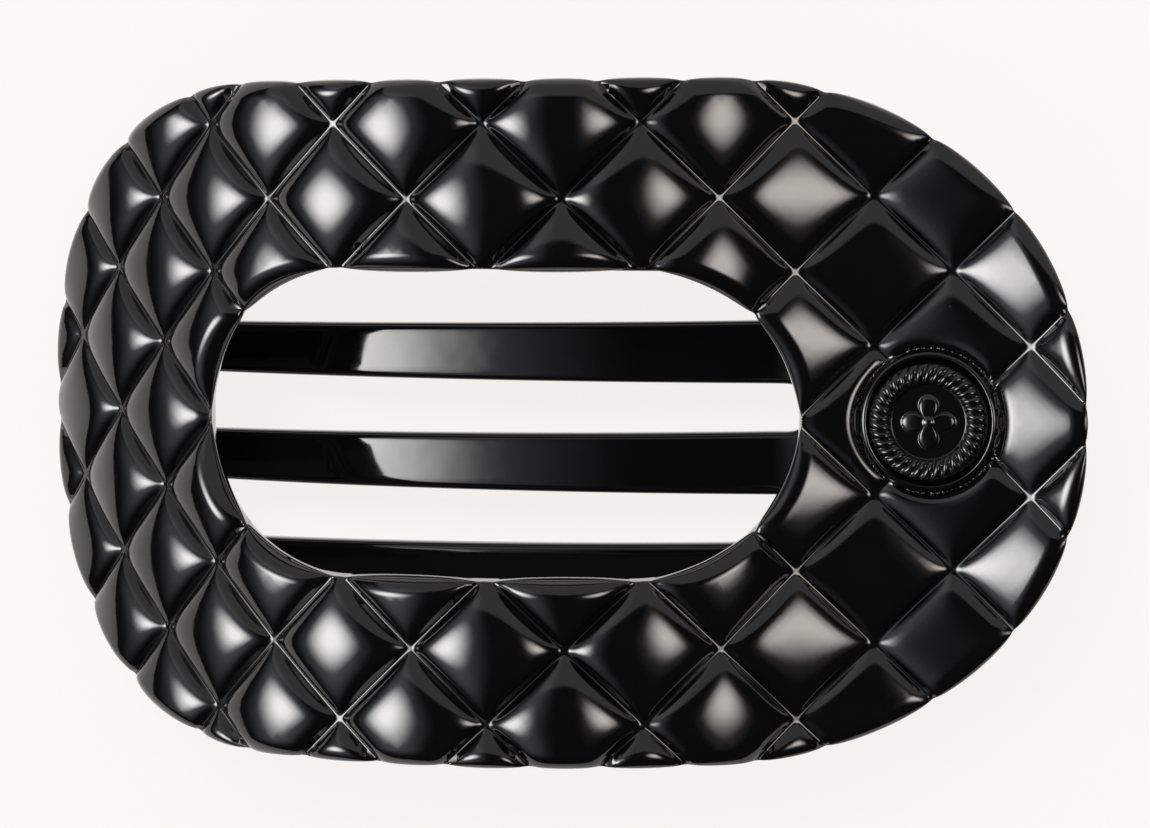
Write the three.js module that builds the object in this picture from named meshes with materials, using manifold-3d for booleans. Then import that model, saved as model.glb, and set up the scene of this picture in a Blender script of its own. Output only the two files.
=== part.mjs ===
// Oval spring-hinged hair barrette, in millimetres, +Z up.
// An open, quilted oval shell curls down to its nose at -X and flips up into a thumb tab at +X.
// A four-tined comb swings on a pin under the tab, and a torsion spring holds it shut.
// Everything is drawn in the clip's own side view first: x runs along the clip, z is height,
// and (0, 0) is the saddle, where the arched back turns into the upturned tab. The finished clip
// is then tipped and shifted so that it lies face up on its tine tips and its lever.

import * as THREE from 'three';
import { mergeVertices } from 'three/addons/utils/BufferGeometryUtils.js';
import Module from 'manifold-3d';

const wasm = await Module();
wasm.setup();

const radians = THREE.MathUtils.degToRad;

// Shell, measured along its curved face from the middle of the clip. Its side view is three arcs.
const SADDLE = 26.5; // where the arched back turns into the upturned tab
const SADDLE_FALL = radians(17.5); // the face falls this much towards the tab there
const BACK_RADIUS = 54;
const NOSE_START = -28; // the nose is everything left of here
const NOSE_RADIUS = 88;
const TAB_RADIUS = 34; // hollow side up
const VALLEY = SADDLE + TAB_RADIUS * SADDLE_FALL; // the tab's lowest point
const OUTLINE = { halfLength: 57.2, halfWidth: 31.8, end: 34 };
const OPENING = { halfLength: 30, halfWidth: 14.6, end: 16 };
const SHELL_THICKNESS = 4; // below the face's lowest lines
const CROWN_LIFT = 1.2; // the padded face above those lines

// Badge on the tab
const BADGE_PLACE = 42.1;
const BADGE_RADIUS = 5.5;
const BADGE_HEIGHT = 2;
const ROPE_WIDTH = 2; // raised border of the badge
const ROPE_HEIGHT = 0.8; // above the badge's flat centre
const SEAT_DEPTH = 0.9;
const COLLAR_RADIUS = 6.5;
const COLLAR_LIFT = 0.3; // above the padded face

// Hinge under the tab
const PIN = new THREE.Vector2(12, -10);
const PIN_RADIUS = 1.1;
const PIN_HEAD_RADIUS = 1.9;
const PIN_HEAD_THICKNESS = 0.8;
const PIN_HEAD_CHAMFER = 0.4;
const EAR_RADIUS = 3.2;
const EAR_THICKNESS = 3;
const EAR_PLACE = 9.9; // middle of each shell ear, from the clip's centre plane
const KNUCKLE_PLACE = 6.5; // middle of each comb knuckle
const CLEARANCE = 0.3;

// Comb
const TINE_COUNT = 4;
const TINE_PITCH = 10.9;
const TINE_ROOT_WIDTH = 6.2;
const TINE_TIP_WIDTH = 5;
const TINE_RADIUS = 120; // the tines' own curl, on their upper face
const TINE_START = new THREE.Vector2(1.5, -17); // where that curl begins
const TINE_TURN = [radians(1), radians(34.4)]; // slope at the root and at the tip
const COMB_THICKNESS = 2.6;
const CREST_DROP = 5.6; // the comb's crest under the pin
const LEVER_ANGLE = radians(20);
const LEVER_LENGTH = 19;
const LEVER_HALF_WIDTH = 12;
const ROOT_BAR_X = 5.5;
const OVERLAP = 2; // how far a tine runs into the root bar, and a post into the shell
const NECK = 1; // half length of the comb's blend from root bar to lever

// Spring
const WIRE = 1;
const COIL_RADIUS = 2.6;
const COIL_TURNS = 6;
const COIL_PITCH = 1.15;
const LEG_LENGTH = 11.5;
const TAB_LEG_RISE = radians(13); // the leg under the tab
const LEVER_LEG_LEAN = radians(2); // the other leg lies this much closer to the lever

// Cutting shapes run well past what they cut
const COLUMN_HEIGHT = 100;
const SEAT_CUT_HEIGHT = 10;

// Smoothness
const ARC_STEPS = 22; // round each end of an oval
const SIDE_STEPS = 12; // along each straight side of an oval
const ROUND_STEPS = 32; // round a full circle
const ROPE_STEPS = 6; // over the badge's border
const SPRING_STEPS = 150; // along the spring's wire

// ---------- helpers ----------

function solid(geometry) {
  const bare = geometry.clone();
  bare.deleteAttribute('normal');
  bare.deleteAttribute('uv');
  const merged = mergeVertices(bare, 1e-4);
  return new wasm.Manifold(new wasm.Mesh({
    numProp: 3,
    vertProperties: new Float32Array(merged.attributes.position.array),
    triVerts: new Uint32Array(merged.index.array),
  }));
}

function geometryOf(manifold) {
  const { vertProperties, triVerts } = manifold.getMesh();
  const geometry = new THREE.BufferGeometry();
  geometry.setAttribute('position', new THREE.BufferAttribute(vertProperties, 3));
  geometry.setIndex(new THREE.BufferAttribute(triVerts, 1));
  geometry.computeVertexNormals();
  return geometry;
}

function joined(geometries) {
  return geometries.map(solid).reduce((all, next) => all.add(next));
}

// A side-view shape made `width` wide, centred on the plane y = middle.
function acrossClip(shape, width, middle = 0) {
  const geometry = new THREE.ExtrudeGeometry(shape, {
    depth: width,
    bevelEnabled: false,
    curveSegments: ROUND_STEPS / 2,
  });
  geometry.rotateX(Math.PI / 2);
  geometry.translate(0, middle + width / 2, 0);
  return geometry;
}

// A plan-view shape made into a column much taller than the clip.
function column(shape) {
  const geometry = new THREE.ExtrudeGeometry(shape, {
    depth: COLUMN_HEIGHT,
    bevelEnabled: false,
    curveSegments: ROUND_STEPS / 2,
  });
  geometry.translate(0, 0, -COLUMN_HEIGHT / 2);
  return geometry;
}

function disc(centre, radius) {
  return new THREE.Shape().absarc(centre.x, centre.y, radius, 0, 2 * Math.PI);
}

// A bar with round ends between two side-view points.
function bar(from, to, thickness) {
  const heading = Math.atan2(to.y - from.y, to.x - from.x);
  const quarter = Math.PI / 2;
  return new THREE.Shape()
    .absarc(to.x, to.y, thickness / 2, heading - quarter, heading + quarter)
    .absarc(from.x, from.y, thickness / 2, heading + quarter, heading + 3 * quarter);
}

// The unit normal of a surface that has turned by `turn` from level.
function normalAt(turn) {
  return new THREE.Vector2(-Math.sin(turn), Math.cos(turn));
}

// Where an arc leads from `start`, a point whose line falls by `start.fall` towards +x.
// A negative radius is an arc with its hollow side up.
function followArc(start, radius, distance) {
  const fall = start.fall + distance / radius;
  return {
    x: start.x + radius * (Math.sin(fall) - Math.sin(start.fall)),
    y: start.y + radius * (Math.cos(fall) - Math.cos(start.fall)),
    fall,
  };
}

// ---------- shell ----------

// The shell's side-view line, `along` its face from the middle of the clip.
function onSpine(along) {
  const saddle = { x: 0, y: 0, fall: SADDLE_FALL };
  if (along >= SADDLE) return followArc(saddle, -TAB_RADIUS, along - SADDLE);
  if (along >= NOSE_START) return followArc(saddle, BACK_RADIUS, along - SADDLE);
  const nose = followArc(saddle, BACK_RADIUS, NOSE_START - SADDLE);
  return followArc(nose, NOSE_RADIUS, along - NOSE_START);
}

// Side-view place of a point `along` the curved face and `lift` above it.
function onShell(along, lift) {
  const { x, y, fall } = onSpine(along);
  return new THREE.Vector2(x + lift * Math.sin(fall), y + lift * Math.cos(fall));
}

// Side-view place of a point `depth` under the face. The shell's edges are square to the face at
// the nose, where `across` is 1, and plumb round the opening and the tab.
function underShell(along, depth, across) {
  const face = onSpine(along);
  const plumb = new THREE.Vector2(face.x, face.y - depth / Math.cos(face.fall));
  const noseShare = THREE.MathUtils.clamp(along / NOSE_START, 0, 1);
  return plumb.lerp(onShell(along, -depth), noseShare * across);
}

// Points round an oval with straight sides and elliptical ends, the same number for every oval.
function ovalPoints({ halfLength, halfWidth, end }) {
  const flat = halfLength - end;
  const points = [];
  for (const side of [1, -1]) {
    for (let i = 0; i < ARC_STEPS; i += 1) {
      const angle = (i / ARC_STEPS - 0.5) * Math.PI;
      const x = flat + end * Math.cos(angle);
      points.push(new THREE.Vector2(side * x, side * halfWidth * Math.sin(angle)));
    }
    for (let i = 0; i < SIDE_STEPS; i += 1) {
      const x = flat * (1 - 2 * (i / SIDE_STEPS));
      points.push(new THREE.Vector2(side * x, side * halfWidth));
    }
  }
  return points;
}

// The ring's section, from the opening (across 0) to the outside (across 1).
function ringSection() {
  const top = [0, 0.05, 0.2, 0.5, 0.8, 0.95, 1];
  const bottom = [1, 0.75, 0.5, 0.25, 0];
  const rounded = (across) => CROWN_LIFT * Math.sqrt(1 - Math.abs(2 * across - 1) ** 6);
  return [
    ...top.map((across) => ({ across, lift: rounded(across) })),
    ...bottom.map((across) => ({ across, lift: -SHELL_THICKNESS })),
  ];
}

function ringPlate() {
  const inner = ovalPoints(OPENING);
  const outer = ovalPoints(OUTLINE);
  const section = ringSection();
  const positions = [];
  for (let i = 0; i < outer.length; i += 1) {
    for (const { across, lift } of section) {
      const flat = inner[i].clone().lerp(outer[i], across);
      const point = lift < 0 ? underShell(flat.x, -lift, across) : onShell(flat.x, lift);
      positions.push(point.x, flat.y, point.y);
    }
  }
  const indices = [];
  const count = section.length;
  for (let i = 0; i < outer.length; i += 1) {
    const next = (i + 1) % outer.length;
    for (let k = 0; k < count; k += 1) {
      const up = (k + 1) % count;
      const corners = [i * count + k, i * count + up, next * count + up, next * count + k];
      indices.push(corners[0], corners[1], corners[2], corners[0], corners[2], corners[3]);
    }
  }
  const geometry = new THREE.BufferGeometry();
  geometry.setAttribute('position', new THREE.Float32BufferAttribute(positions, 3));
  geometry.setIndex(indices);
  return geometry;
}

// Turns a lathe's Y axis onto the tab's normal and stands it on the tab at the badge.
function placeOnTab(geometry, lift) {
  const foot = onShell(BADGE_PLACE, lift);
  geometry.rotateX(Math.PI / 2);
  geometry.rotateY(onSpine(BADGE_PLACE).fall);
  geometry.translate(foot.x, 0, foot.y);
  return geometry;
}

function roundPost(radius, height, lift) {
  const profile = [[0, 0], [radius, 0], [radius, height], [0, height]];
  const points = profile.map(([r, h]) => new THREE.Vector2(r, h));
  return placeOnTab(new THREE.LatheGeometry(points, ROUND_STEPS), lift);
}

function shellEar(middle) {
  const top = onShell(VALLEY, -SHELL_THICKNESS / 2).y;
  const shape = new THREE.Shape()
    .absarc(PIN.x, PIN.y, EAR_RADIUS, Math.PI, 2 * Math.PI)
    .lineTo(PIN.x + EAR_RADIUS, top)
    .lineTo(PIN.x - EAR_RADIUS, top);
  return acrossClip(shape, EAR_THICKNESS, middle);
}

function upperShell() {
  const collarTop = CROWN_LIFT + COLLAR_LIFT;
  const body = joined([
    ringPlate(),
    shellEar(EAR_PLACE),
    shellEar(-EAR_PLACE),
    roundPost(COLLAR_RADIUS, collarTop + OVERLAP, -OVERLAP),
  ]);
  const seat = roundPost(BADGE_RADIUS + CLEARANCE, SEAT_CUT_HEIGHT, CROWN_LIFT - SEAT_DEPTH);
  const pinHole = acrossClip(disc(PIN, PIN_RADIUS + CLEARANCE), 2 * OUTLINE.halfWidth);
  return geometryOf(body.subtract(joined([seat, pinHole])));
}

// ---------- badge ----------

// A disc with a flat centre inside a raised border of half-round section.
function badgeInsert() {
  const flat = BADGE_HEIGHT - ROPE_HEIGHT;
  const points = [new THREE.Vector2(0, 0), new THREE.Vector2(BADGE_RADIUS, 0)];
  for (let i = 0; i <= ROPE_STEPS; i += 1) {
    const turn = (i / ROPE_STEPS) * Math.PI;
    const r = BADGE_RADIUS - (ROPE_WIDTH / 2) * (1 - Math.cos(turn));
    points.push(new THREE.Vector2(r, flat + ROPE_HEIGHT * Math.sin(turn)));
  }
  points.push(new THREE.Vector2(0, flat));
  const lathe = new THREE.LatheGeometry(points, ROUND_STEPS);
  const foot = CROWN_LIFT - SEAT_DEPTH + CLEARANCE;
  return geometryOf(solid(placeOnTab(lathe, foot)));
}

// ---------- comb ----------

function tineCurlCentre() {
  return TINE_START.clone().sub(normalAt(TINE_TURN[0]).multiplyScalar(TINE_RADIUS));
}

// Place on the middle of the comb's thickness after the tines have turned by `turn`.
function tineMiddle(turn) {
  const reach = TINE_RADIUS - COMB_THICKNESS / 2;
  return tineCurlCentre().add(normalAt(turn).multiplyScalar(reach));
}

function tineSide() {
  const centre = tineCurlCentre();
  const quarter = Math.PI / 2;
  const [root, tip] = TINE_TURN;
  const tipMiddle = tineMiddle(tip);
  return new THREE.Shape()
    .absarc(centre.x, centre.y, TINE_RADIUS, quarter + root, quarter + tip)
    .absarc(tipMiddle.x, tipMiddle.y, COMB_THICKNESS / 2, quarter + tip, 3 * quarter + tip)
    .absarc(centre.x, centre.y, TINE_RADIUS - COMB_THICKNESS, quarter + tip, quarter + root, true);
}

function leverEnd() {
  const crest = new THREE.Vector2(PIN.x, PIN.y - CREST_DROP);
  const reach = new THREE.Vector2(Math.cos(LEVER_ANGLE), -Math.sin(LEVER_ANGLE));
  return crest.add(reach.multiplyScalar(LEVER_LENGTH));
}

// The comb seen from the side, as wide as the shell: curled tines, bridge and lever.
function combSide() {
  const crest = new THREE.Vector2(PIN.x, PIN.y - CREST_DROP);
  const shapes = [
    tineSide(),
    bar(tineMiddle(TINE_TURN[0]), crest, COMB_THICKNESS),
    bar(crest, leverEnd(), COMB_THICKNESS),
  ];
  return joined(shapes.map((shape) => acrossClip(shape, 2 * OUTLINE.halfWidth)));
}

// One tine in plan, from inside the root bar to its round tip.
function tinePlan(middle) {
  const tipX = tineMiddle(TINE_TURN[1]).x;
  const root = TINE_ROOT_WIDTH / 2;
  const tip = TINE_TIP_WIDTH / 2;
  return new THREE.Shape()
    .moveTo(ROOT_BAR_X + OVERLAP, middle - root)
    .lineTo(ROOT_BAR_X + OVERLAP, middle + root)
    .lineTo(tipX + tip, middle + tip)
    .absarc(tipX + tip, middle, tip, Math.PI / 2, 3 * Math.PI / 2);
}

// The root bar, the neck under the hinge and the round-ended lever, in plan.
function leverPlan() {
  const halfBar = TINE_PITCH * (TINE_COUNT - 1) / 2 + TINE_ROOT_WIDTH / 2;
  const endX = leverEnd().x + COMB_THICKNESS / 3;
  const half = LEVER_HALF_WIDTH;
  const shape = new THREE.Shape();
  shape.moveTo(ROOT_BAR_X, -halfBar);
  shape.quadraticCurveTo(PIN.x - NECK, -halfBar, PIN.x + NECK, -half);
  shape.lineTo(endX - half, -half);
  shape.absarc(endX - half, 0, half, -Math.PI / 2, Math.PI / 2);
  shape.lineTo(PIN.x + NECK, half);
  shape.quadraticCurveTo(PIN.x - NECK, halfBar, ROOT_BAR_X, halfBar);
  return shape;
}

function combKnuckle(middle) {
  const bottom = PIN.y - CREST_DROP;
  const shape = new THREE.Shape()
    .moveTo(PIN.x - EAR_RADIUS, bottom)
    .lineTo(PIN.x + EAR_RADIUS, bottom)
    .absarc(PIN.x, PIN.y, EAR_RADIUS, 0, Math.PI);
  return acrossClip(shape, EAR_THICKNESS, middle);
}

function lowerComb() {
  const first = -TINE_PITCH * (TINE_COUNT - 1) / 2;
  const plans = [leverPlan()];
  for (let i = 0; i < TINE_COUNT; i += 1) {
    plans.push(tinePlan(first + i * TINE_PITCH));
  }
  const plate = combSide().intersect(joined(plans.map(column)));
  const knuckles = joined([combKnuckle(KNUCKLE_PLACE), combKnuckle(-KNUCKLE_PLACE)]);
  const pinHole = acrossClip(disc(PIN, PIN_RADIUS + CLEARANCE), 2 * OUTLINE.halfWidth);
  return geometryOf(plate.add(knuckles).subtract(solid(pinHole)));
}

// ---------- hinge pin and spring ----------

function hingePin() {
  const half = EAR_PLACE + EAR_THICKNESS / 2 + CLEARANCE;
  const end = half + PIN_HEAD_THICKNESS;
  const shoulder = end - PIN_HEAD_CHAMFER;
  const profile = [
    [0, -end],
    [PIN_HEAD_RADIUS - PIN_HEAD_CHAMFER, -end],
    [PIN_HEAD_RADIUS, -shoulder],
    [PIN_HEAD_RADIUS, -half],
    [PIN_RADIUS, -half],
    [PIN_RADIUS, half],
    [PIN_HEAD_RADIUS, half],
    [PIN_HEAD_RADIUS, shoulder],
    [PIN_HEAD_RADIUS - PIN_HEAD_CHAMFER, end],
    [0, end],
  ];
  const points = profile.map(([r, h]) => new THREE.Vector2(r, h));
  const lathe = new THREE.LatheGeometry(points, ROUND_STEPS / 2);
  lathe.translate(PIN.x, 0, PIN.y);
  return geometryOf(solid(lathe));
}

// The wire's centre line: under the tab, round the pin and out along the lever.
class SpringLine extends THREE.Curve {
  getPoint(t) {
    const startTurn = Math.PI / 2 + TAB_LEG_RISE;
    const turned = (2 * COIL_TURNS + 1) * Math.PI - LEVER_ANGLE - TAB_LEG_RISE - LEVER_LEG_LEAN;
    const coilLength = turned * COIL_RADIUS;
    const travelled = t * (coilLength + 2 * LEG_LENGTH) - LEG_LENGTH;
    const onCoil = THREE.MathUtils.clamp(travelled, 0, coilLength);
    const beyond = travelled - onCoil;
    const turn = startTurn + onCoil / COIL_RADIUS;
    const y = (onCoil / coilLength - 0.5) * COIL_TURNS * COIL_PITCH;
    const x = PIN.x + COIL_RADIUS * Math.cos(turn) - beyond * Math.sin(turn);
    const z = PIN.y + COIL_RADIUS * Math.sin(turn) + beyond * Math.cos(turn);
    return new THREE.Vector3(x, y, z);
  }
}

function torsionSpring() {
  const section = new THREE.Shape().absarc(0, 0, WIRE / 2, 0, 2 * Math.PI);
  const geometry = new THREE.ExtrudeGeometry(section, {
    steps: SPRING_STEPS,
    curveSegments: 4,
    extrudePath: new SpringLine(),
    bevelEnabled: false,
  });
  return geometryOf(solid(geometry));
}

// ---------- assembly ----------

function piece(name, geometry, color, roughness, metalness) {
  const material = new THREE.MeshStandardMaterial({ color, roughness, metalness });
  const mesh = new THREE.Mesh(geometry, material);
  mesh.name = name;
  return mesh;
}

const GLOSS_BLACK = 0x0b0b0c;
const SPRING_STEEL = 0xb8b8ba;

const clip = new THREE.Group();
clip.add(
  piece('upper_shell', upperShell(), GLOSS_BLACK, 0.12, 0),
  piece('badge_insert', badgeInsert(), GLOSS_BLACK, 0.15, 0),
  piece('lower_comb', lowerComb(), GLOSS_BLACK, 0.12, 0),
  piece('hinge_pin', hingePin(), SPRING_STEEL, 0.3, 1),
  piece('torsion_spring', torsionSpring(), SPRING_STEEL, 0.35, 1),
);

// Tips the clip until its tine tips and lever end touch one level plane.
function lyingTilt() {
  const tip = tineMiddle(TINE_TURN[1]);
  const lever = leverEnd();
  return Math.atan2(lever.y - tip.y, lever.x - tip.x);
}

clip.rotation.y = lyingTilt();
clip.updateMatrixWorld(true);
const box = new THREE.Box3().setFromObject(clip, true);
const middle = box.getCenter(new THREE.Vector3());
clip.position.set(-middle.x, -middle.y, -box.min.z);

const barrette = new THREE.Group();
barrette.add(clip);

export default barrette;
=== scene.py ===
import math

import bmesh
import bpy
import numpy as np
from mathutils import Matrix, Vector
from mathutils.geometry import delaunay_2d_cdt


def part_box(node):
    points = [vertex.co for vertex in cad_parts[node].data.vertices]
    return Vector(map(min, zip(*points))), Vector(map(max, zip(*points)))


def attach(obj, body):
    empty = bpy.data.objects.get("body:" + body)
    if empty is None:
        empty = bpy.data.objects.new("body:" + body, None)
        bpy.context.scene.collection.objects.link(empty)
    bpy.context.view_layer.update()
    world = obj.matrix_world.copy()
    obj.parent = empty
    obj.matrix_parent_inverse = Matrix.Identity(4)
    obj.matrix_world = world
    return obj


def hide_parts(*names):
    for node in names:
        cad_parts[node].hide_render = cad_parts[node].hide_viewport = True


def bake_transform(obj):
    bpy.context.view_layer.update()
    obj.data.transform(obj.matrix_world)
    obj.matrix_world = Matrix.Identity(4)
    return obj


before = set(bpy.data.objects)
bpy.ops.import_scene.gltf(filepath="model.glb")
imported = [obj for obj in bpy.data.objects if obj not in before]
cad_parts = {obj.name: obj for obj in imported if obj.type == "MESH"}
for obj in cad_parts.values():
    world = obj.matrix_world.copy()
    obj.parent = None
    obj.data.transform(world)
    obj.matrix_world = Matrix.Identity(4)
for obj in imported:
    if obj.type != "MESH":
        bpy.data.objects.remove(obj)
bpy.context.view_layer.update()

# Lengths here are millimetres in the clip's own side-view frame, as in the CAD: x runs along
# the clip, y across it, z up, and (0, 0, 0) is the saddle between the back and the tab.
MM = 0.001
LYING_TILT = math.radians(10.28989)  # as the clip lies on its tine tips and lever
PIN_X, PIN_Z = 12.0, -10.0

# Shell: the CAD's three arcs, outline and opening. Places on it are (along, across) the face
# as if it were flat.
SADDLE = 26.5
SADDLE_FALL = math.radians(17.5)
BACK_RADIUS = 54.0
NOSE_START = -28.0
NOSE_RADIUS = 88.0
TAB_RADIUS = 34.0
VALLEY = SADDLE + TAB_RADIUS * SADDLE_FALL  # where the tab's curve is level
OUTLINE = (57.2, 31.8, 34.0)  # half length, half width, length of an elliptical end
OPENING = (30.0, 14.6, 16.0)
OUTLINE_SPACING = 0.45
OPENING_SPACING = 0.4
SHELL_THICKNESS = 4.0
RIM_INSET = 0.6  # rounding between the wall and the underside
RIM_STEPS = (1.7, 1.8, 1.95, 2.1)  # from a flat rim in to the hollow
HOLLOW_DROP = 3.3  # from the face to the hollowed underside
WALL_SWELLS = ((0.5, 1.25), (1.1, 1.3), (1.9, 1.0), (2.7, 0.5), (3.4, 0.0))  # drop, share of bulge
WALL_FOOT = ((3.7, 0.08), (3.9, 0.28), (SHELL_THICKNESS, RIM_INSET))  # drop, inset
UNDERSIDE_GRID = ((-56, 57, 1.6), (-31, 32, 1.6))  # from, to and step, along and across
UNDERSIDE_CLEAR = 2.6  # how far in from an edge the grid starts

# Quilting: diamonds between two families of slanted grooves
DIAMOND_HALF_LENGTH = 7.373
DIAMOND_HALF_WIDTH = 7.0
PUFF_FULLNESS = 2.2  # exponent across a puff: higher is flatter on top
PUFF_STEEPNESS = 0.43  # exponent of the fall into a groove: lower is steeper
GROOVE_PITCH = 10.15  # between neighbouring grooves, square across them
GROOVE_RADIUS = 0.36  # rounding at the bottom of a groove
PUFF_PLACES = (-56.0, -44.0, 8.0, 14.7, 22.0, 29.0)  # puffs are flatter at the nose and the tab
PUFF_HEIGHTS = (1.0, 1.8, 1.8, 1.5, 1.3, 1.15)
EDGE_ROLL = 1.4  # how far in from an edge a puff reaches its full height
EDGE_BULGE = 0.32  # puffs stand out past the edge line, grooves don't

# Where the quilting has points
EDGE_DEPTHS = (0.03, 0.1, 0.2, 0.33, 0.48, 0.65, 0.83, 1.02, 1.22, EDGE_ROLL)
GROOVE_CLEAR = 0.5  # nearer a groove than this, points follow the groove and not the edges
QUILT_MARGIN = 0.1  # between the edge bands and the first lattice points
CROSSING_SHIFTS = (-0.55, -0.32, -0.18, -0.08, 0, 0.08, 0.18, 0.32, 0.55)  # where grooves meet edges
CROSSING_CLEAR = 0.15  # an edge's evenly spaced points keep this far from those
# From a groove, at 0, to the middle of a puff, at 1
PUFF_STEPS = (0, 0.01, 0.02, 0.033, 0.05, 0.075, 0.11, 0.16, 0.23, 0.32, 0.44, 0.6, 0.79, 1)
LATTICE_REACH = 7  # grooves of each family, either side of the middle
OVAL_STEPS = 2000  # in half an oval's fine loop

# Badge on the tab
BADGE_PLACE = 42.1
BADGE_RADIUS = 5.5
SEAT_RADIUS = 5.6
SEAT_LIFT = 0.45
COLLAR_RADIUS = 6.8
COLLAR_LIFT = 1.15
COLLAR_FULLNESS = 2.5  # exponent across the collar, as for a puff
COLLAR_RINGS = 9
BADGE_RING_POINTS = 240
BADGE_FOOT = 0.6
BADGE_FOOT_BEVEL = 0.1
BADGE_HEIGHT = 2.0
BADGE_CORE = 0.02  # radius of the innermost ring
FLAT_RINGS = 34
ROPE_INNER = 3.5
ROPE_HEIGHT = 0.8
ROPE_VALLEY = 0.3  # share of the rope's height that is left between beads
ROPE_RINGS = 15
BEADS = 34
BEAD_POINTS = 12
BEAD_SHARPNESS = 0.45
BEAD_SLANT = 0.9  # how many beads a bead leans from its inner to its outer end
PETAL_LENGTH = 2.5
PETAL_SHARPNESS = 0.45
PETAL_HEIGHT = 0.32
HEART_RADIUS = 0.7
HEART_HEIGHT = 0.5

# Comb
TINE_MIDDLES = (-16.35, -5.45, 5.45, 16.35)
TINE_ROOT = 3.1  # half widths
TINE_TIP = 2.5
TINE_RADIUS = 120.0
TINE_START = (1.5, -17.0)
ROOT_TURN, TIP_TURN = math.radians(1.0), math.radians(34.4)
COMB_THICKNESS = 2.6
CREST_DROP = 5.6
LEVER_ANGLE = math.radians(20.0)
LEVER_LENGTH = 19.0
LEVER_HALF_WIDTH = 12.0
ROOT_BAR_X = 5.5
NECK_EASE = 1.0  # how far the neck's curve starts and aims either side of the pin
COMB_BEND = 2.2  # how far either side of a corner the comb's line curves
COMB_BEVEL = 0.7
BEVEL_DEPTHS = (0, 0.04, 0.14, 0.3, 0.5, COMB_BEVEL)
COMB_SPACING = 0.7  # between points of the outline
LEVER_POINTS = 60
NECK_POINTS = 30
TIP_POINTS = 30
ROOT_POINTS = 24
COMB_GRID = ((-64, 31, 1.5), (-19, 20, 1.0))  # from, to and step, along and across
COMB_CLEAR = COMB_BEVEL + 0.4  # how far in from the outline the grid starts

# Hinge
EAR_RADIUS = 3.2
EAR_THICKNESS = 3.0
EAR_PLACE = 9.9
KNUCKLE_PLACE = 6.5
PIN_RADIUS = 1.1
HOLE_RADIUS = 1.4
PIN_HEAD_RADIUS = 1.9
PIN_HEAD_THICKNESS = 0.8
PIN_HEAD_RIM = 0.25  # straight part of a head, below its dome
PIN_HEAD_CHAMFER = 0.1
PIN_FILLET = 0.05
PIN_END_PLAY = 0.3
PIN_POINTS = 48
DOME_STEPS = 8
LUG_BEVEL = 0.35
LUG_POINTS = 96

# Spring
WIRE_RADIUS = 0.5
COIL_RADIUS = 2.6
COIL_TURNS = 6
COIL_PITCH = 1.15
LEG_LENGTH = 11.5
TAB_LEG_RISE = math.radians(13.0)
LEVER_LEG_LEAN = math.radians(2.0)
CUT_END = 0.7  # share of the wire's radius that its cut ends keep
SPRING_STEPS = 640
WIRE_POINTS = 14

# Colours and light
GLOSS_BLACK = (0.0014, 0.0014, 0.0016)
BADGE_BLACK = (0.0016, 0.0016, 0.0018)
PIN_GREY = (0.56, 0.56, 0.57)
SPRING_GREY = (0.5, 0.5, 0.51)
PLASTIC_IOR = 1.53
FLOOR_COLOUR = (0.060, 0.0578, 0.0563, 1.0)
FLOOR_GLOW = (1.0, 0.9637, 0.9378, 1.0)
FLOOR_GLOW_STRENGTH = 0.875
PALE_ROOM = (0.95, 0.92, 0.9, 1.0)
DIM_ROOM = (0.015, 0.015, 0.016)
COOL = (0.9, 0.94, 1.0)
WARM = (1.0, 0.925, 0.87)
WHITE = (1.0, 0.985, 0.97)
NOSE_SOFTBOX = (-0.814, -0.05, 0.58)  # directions in the side view
TAB_SOFTBOX = (0.5, 0.03, 0.87)
CARD = (0.16, 0.93, 0.33)
LIGHTS = (  # direction, size, softness, colour, strength
    (NOSE_SOFTBOX, (0.25, 0.22), 0.8, WHITE, 17.0),
    (NOSE_SOFTBOX, (0.36, 0.5), 0.85, COOL, 1.6),
    (TAB_SOFTBOX, (0.16, 0.17), 0.85, WARM, 9.5),
    (TAB_SOFTBOX, (0.21, 0.26), 0.9, WARM, 0.9),
    (CARD, (0.85, 0.7), 0.04, WHITE, 0.6),
)

# Studio, in metres in the CAD frame
FLOOR_HALF = 3.0
OVERHEAD_PLACE = (0.0, 0.24, 0.6)
OVERHEAD_SIZE = 0.22
OVERHEAD_POWER = 3.6

# Camera: a long lens, almost square above the back
SENSOR_WIDTH = 36.0
LENS = 120.9287
NEAREST_SEEN = 0.01
CAMERA_PLACE = (-17.72, 30.0, 358.52)
CAMERA_PITCH = math.radians(4.635)
CAMERA_ROLL = math.radians(0.385)


# ---------- the shared frame ----------

def turned(vectors):
    """Side-view directions as directions in the CAD frame."""
    cos, sin = math.cos(LYING_TILT), math.sin(LYING_TILT)
    turn = np.array([[cos, 0, sin], [0, 1, 0], [-sin, 0, cos]])
    return np.asarray(vectors, float) @ turn.T


def origin():
    """The side view's origin in the CAD frame, from where the hinge pin is."""
    low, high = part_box("hinge_pin")
    middle = (np.array(low) + np.array(high)) / 2
    return middle - turned([PIN_X, 0, PIN_Z]) * MM


ORIGIN = origin()


def placed(points):
    """Side-view points in millimetres as metres in the CAD frame."""
    return turned(points) * MM + ORIGIN


# ---------- mesh helpers ----------

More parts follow.
